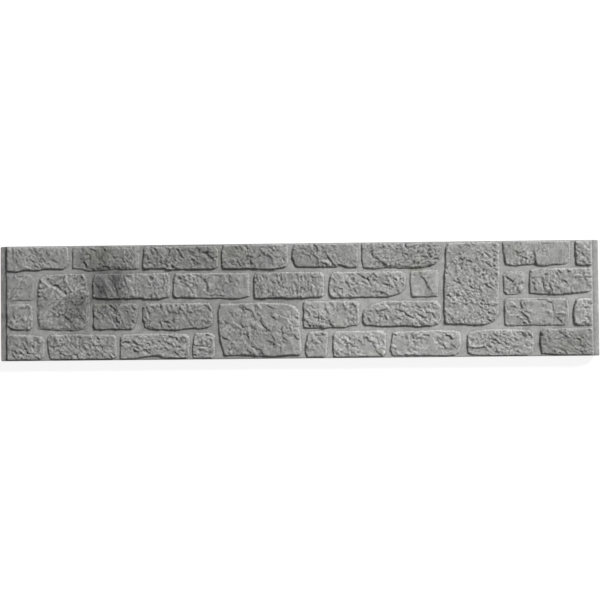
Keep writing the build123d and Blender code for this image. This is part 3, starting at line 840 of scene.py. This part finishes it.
def front_heights(points, stones):
    """Height in millimetres at each point of the front, and each point's tone."""
    z = plate_level(points)
    tone = np.full(len(points), JOINT_TONE)
    on_step = z < MORTAR_LEVEL - 0.01
    uneven = SWELL * fractal(points, 60, 3.1, 2) + RIPPLE * fractal(points, 16, 8.3, 2, stretch=2.5)
    z += np.where(on_step, 0, uneven)
    for number, (name, loop) in enumerate(stones.items()):
        near = close_to(points, loop, NEAR_STONE)
        depth = distance_to(points[near], loop)
        near = near[depth > 0]
        depth = depth[depth > 0]
        here = points[near]
        seed = 11.7 * number
        levels = ray_levels(here + LAYER_WAVE * drift(here, 14, (seed + 1, seed + 2), 2))
        plateau = np.percentile(levels[depth > FACE], 4)
        levels = np.where(depth > FLANK, np.maximum(levels, plateau), plateau)
        width = EDGE_WIDTH + EDGE_SPREAD * fractal(here, 30, seed + 3, 2)
        shape = 1 - (1 - np.clip(depth / width, 0, 1)) ** EDGE_ROUNDNESS
        turn, size, strength = GRAIN[name]
        rough = CHIP * facets(here, size * 0.42, seed + 5, turn + 30, 1.5)
        rough += RIDGE * fractal(here, size * 0.45, seed + 6, 4, turn=turn, stretch=1.8)
        rough += PIT * fractal(here, PIT_SIZE, seed + 7, 2, turn=turn, stretch=1.5)
        rough *= np.clip(1.0 + PATCH_CONTRAST * fractal(here, PATCH_SIZE, seed + 8, 2), 0.35, 1.7)
        relief = FACET * facets(here, size, seed + 4, turn, 1.6) + rough
        relief *= strength * (1 - np.clip(blobs(here, SMOOTH, 5.0, 6), 0, 0.85))
        steps, painted_shading = clefts(here, CLEFTS[name])
        relief += steps - BELOW_FACE
        z[near] = MORTAR_LEVEL + (levels - MORTAR_LEVEL) * shape + relief * smooth(depth / TEXTURE_FADE)
        # The clefts' painted shade darkens a stone's tone, and their painted highlight lightens it
        tone[near] = STONE_TONE.get(name, 1.0) * (1 - CLEFT_SHADING * np.clip(painted_shading, -1, 2.2))
    tone *= LEFT_TONE + (RIGHT_TONE - LEFT_TONE) * smooth((points[:, 0] - CHANGE_FROM) / CHANGE_OVER)
    tone *= (1 + MOTTLE * fractal(points, MOTTLE_SIZE, 4.4, 3)) * (1 - blobs(points, STAINS, 2.0))
    # Painted shade on the right-hand step's sloped face, which faces the lamp
    from_step = abs(points[:, 0] - LENGTH + (STEP_FOOT + STEP_TOP) / 2)
    tone *= 1 - RIGHT_STEP_SHADE * smooth(1.6 - from_step / 3)
    return np.minimum(z, TOP_LEVEL), tone


def build_slab():
    """The whole casting as one closed mesh."""
    outlines = named_stones(stone_outlines())
    stones = {name: wavering(outline, 5.3 * i) for i, (name, outline) in enumerate(outlines.items())}
    flat, faces, rim = build_front(stones)
    z, tone = front_heights(flat, stones)
    # Dirt and painted shade darken the hollows, and a painted highlight lightens the rises
    tone *= np.clip(1 + DIRT_SHADE_AND_HIGHLIGHT * hollows(z, faces), *DIRT_SHADE_AND_HIGHLIGHT_LIMITS)
    verts = [np.column_stack([flat, z])]
    count = len(flat)
    outer = plate_outline(0.0)
    normals = inward(outer)
    top = plate_level(outer)
    previous = rim
    for share in SIDE_RINGS:
        level = ARRIS + (top - 2 * ARRIS) * share
        dent = 0.0
        if 0 < share < 1:
            dent = SIDE_DENT + SIDE_DENT * fractal(outer + (0, 50 * share), 22, 9.0, 3)
        line = outer + normals * np.reshape(np.clip(dent, 0, 1), (-1, 1))
        verts.append(np.column_stack([line, level]))
        ring = list(range(count, count + len(line)))
        count += len(line)
        faces += band(previous, ring)
        previous = ring
    inset = plate_outline(ARRIS)
    back = inner_grid(BACK_MARGIN, BACK_STEP)
    flat_back, back_faces, numbers = triangulated(np.concatenate([inset, back]), closed_edges(inset))
    lift = BACK_LIFT * np.clip(1 + fractal(flat_back, 70, 4.0, 3), 0, 2)
    from_edge = np.minimum(flat_back[:, 1], HEIGHT - flat_back[:, 1])
    lift *= smooth((np.minimum(from_end(flat_back), from_edge) - 2) / 20)
    verts.append(np.column_stack([flat_back, lift]))
    faces += [tuple(count + i for i in reversed(f)) for f in back_faces]
    faces += band(previous, [count + numbers[i] for i in range(len(inset))])
    xyz = np.concatenate(verts)
    xyz[:, 0] -= LENGTH / 2
    xyz[:, 1] -= HEIGHT / 2
    mesh = bpy.data.meshes.new("slab")
    mesh.from_pydata((xyz / 1000).tolist(), [], faces)
    growth = np.clip(blobs(flat, OLIVE, 8.0), 0, 1)
    for name, front, elsewhere in (("tone", tone, SIDE_TONE), ("growth", growth, 0.0)):
        values = np.full(len(xyz), elsewhere, np.float32)
        values[:len(flat)] = front
        mesh.attributes.new(name, "FLOAT", "POINT").data.foreach_set("value", values)
    bm = bmesh.new()
    bm.from_mesh(mesh)
    bmesh.ops.triangulate(bm, faces=bm.faces[:])
    bmesh.ops.recalc_face_normals(bm, faces=bm.faces[:])
    bm.to_mesh(mesh)
    bm.free()
    mesh.polygons.foreach_set("use_smooth", [True] * len(mesh.polygons))
    slab = bpy.data.objects.new("slab", mesh)
    bpy.context.collection.objects.link(slab)
    return slab


def node(tree, kind, inputs=(), **settings):
    """A shader node with its settings and input values or links."""
    made = tree.nodes.new(kind)
    for name, value in settings.items():
        setattr(made, name, value)
    for name, value in dict(inputs).items():
        if isinstance(value, bpy.types.NodeSocket):
            tree.links.new(value, made.inputs[name])
        else:
            made.inputs[name].default_value = value
    return made


def bare_material(name):
    """A material without nodes, and its tree."""
    material = bpy.data.materials.new(name)
    material.use_nodes = True
    material.node_tree.nodes.clear()
    return material, material.node_tree


def concrete():
    """Weathered cast concrete: the tone of each place, with blotches, fine grain and pores."""
    material, t = bare_material("cast_concrete")
    place = node(t, "ShaderNodeTexCoord").outputs["Object"]
    tone = node(t, "ShaderNodeAttribute", attribute_name="tone").outputs["Fac"]
    growth = node(t, "ShaderNodeAttribute", attribute_name="growth").outputs["Fac"]

    def specks(scale, detail, roughness):
        values = {"Vector": place, "Scale": scale, "Detail": detail, "Roughness": roughness}
        return node(t, "ShaderNodeTexNoise", values).outputs["Fac"]

    def ramp(value, low, high):
        values = {"Value": value, "From Min": 0.3, "From Max": 0.7, "To Min": low, "To Max": high}
        return node(t, "ShaderNodeMapRange", values).outputs["Result"]

    def times(a, b):
        return node(t, "ShaderNodeMath", {0: a, 1: b}, operation="MULTIPLY").outputs[0]

    blotch = specks(45.0, 4.0, 0.6)
    grain = specks(260.0, 3.0, 0.7)
    sand = specks(1300.0, 2.0, 0.6)
    level = times(tone, times(ramp(blotch, 0.90, 1.10), ramp(grain, 0.86, 1.14)))
    level = times(level, ramp(sand, 0.94, 1.06))
    patchy = times(growth, ramp(blotch, 0.3, 1.5))
    hue = node(t, "ShaderNodeMix", {0: patchy, 6: CONCRETE, 7: OLIVE_CONCRETE}, data_type="RGBA")
    colour = node(t, "ShaderNodeMix", {0: 1.0, 6: hue.outputs[2], 7: level}, data_type="RGBA",
                  blend_type="MULTIPLY")
    height = node(t, "ShaderNodeMath", {0: grain, 1: sand}, operation="ADD")
    bump = node(t, "ShaderNodeBump", {"Strength": 1.0, "Distance": 0.0016, "Height": height.outputs[0]})
    shader = node(t, "ShaderNodeBsdfPrincipled", {
        "Base Color": colour.outputs[2], "Roughness": 0.93, "Specular IOR Level": 0.25,
        "Normal": bump.outputs["Normal"],
    })
    node(t, "ShaderNodeOutputMaterial", {"Surface": shader.outputs[0]})
    return material


def studio():
    """A white floor that keeps the slab's shadow, one broad lamp and an even sky."""
    bpy.ops.mesh.primitive_plane_add(size=14, location=(0, 0, 0))
    floor = bpy.context.object
    floor.name = "floor"
    material, t = bare_material("floor")
    pale = node(t, "ShaderNodeBsdfDiffuse", {"Color": FLOOR})
    shaded = node(t, "ShaderNodeBsdfDiffuse", {"Color": FLOOR_SHADED})
    glow = node(t, "ShaderNodeEmission", {"Color": (1, 1, 1, 1), "Strength": FLOOR_GLOW})
    both = node(t, "ShaderNodeAddShader", {0: shaded.outputs[0], 1: glow.outputs[0]})
    rays = node(t, "ShaderNodeLightPath")
    seen = rays.outputs["Is Camera Ray"]
    for other in ("Is Glossy Ray", "Is Transmission Ray"):
        seen = node(t, "ShaderNodeMath", {0: seen, 1: rays.outputs[other]}, operation="MAXIMUM").outputs[0]
    mixed = node(t, "ShaderNodeMixShader", {0: seen, 1: pale.outputs[0], 2: both.outputs[0]})
    node(t, "ShaderNodeOutputMaterial", {"Surface": mixed.outputs[0]})
    floor.data.materials.append(material)

    world = bpy.data.worlds.new("sky")
    world.use_nodes = True
    background = world.node_tree.nodes["Background"]
    background.inputs["Color"].default_value = (1, 1, 1, 1)
    background.inputs["Strength"].default_value = SKY
    bpy.context.scene.world = world

    lamp = bpy.data.lights.new("key", "SUN")
    lamp.angle = math.radians(KEY_SPREAD)
    lamp.energy = KEY_POWER
    key = bpy.data.objects.new("key", lamp)
    level = math.cos(math.radians(KEY_ELEVATION))
    towards = Vector((*(TO_LIGHT * level), math.sin(math.radians(KEY_ELEVATION))))
    key.location = towards * 3
    key.rotation_euler = towards.to_track_quat("Z", "Y").to_euler()
    bpy.context.collection.objects.link(key)


def camera():
    """The photograph's view: square on to the face, a little askew."""
    data = bpy.data.cameras.new("camera")
    data.lens = 50
    data.sensor_width = 36
    made = bpy.data.objects.new("camera", data)
    made.location = CAMERA_PLACE
    made.rotation_euler = Euler([math.radians(a) for a in CAMERA_TURNS])
    bpy.context.collection.objects.link(made)
    bpy.context.scene.camera = made


slab = build_slab()
slab.data.materials.append(concrete())
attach(slab, "root")
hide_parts("fence_slab")
studio()
camera()
bpy.context.scene.view_settings.view_transform = "Standard"
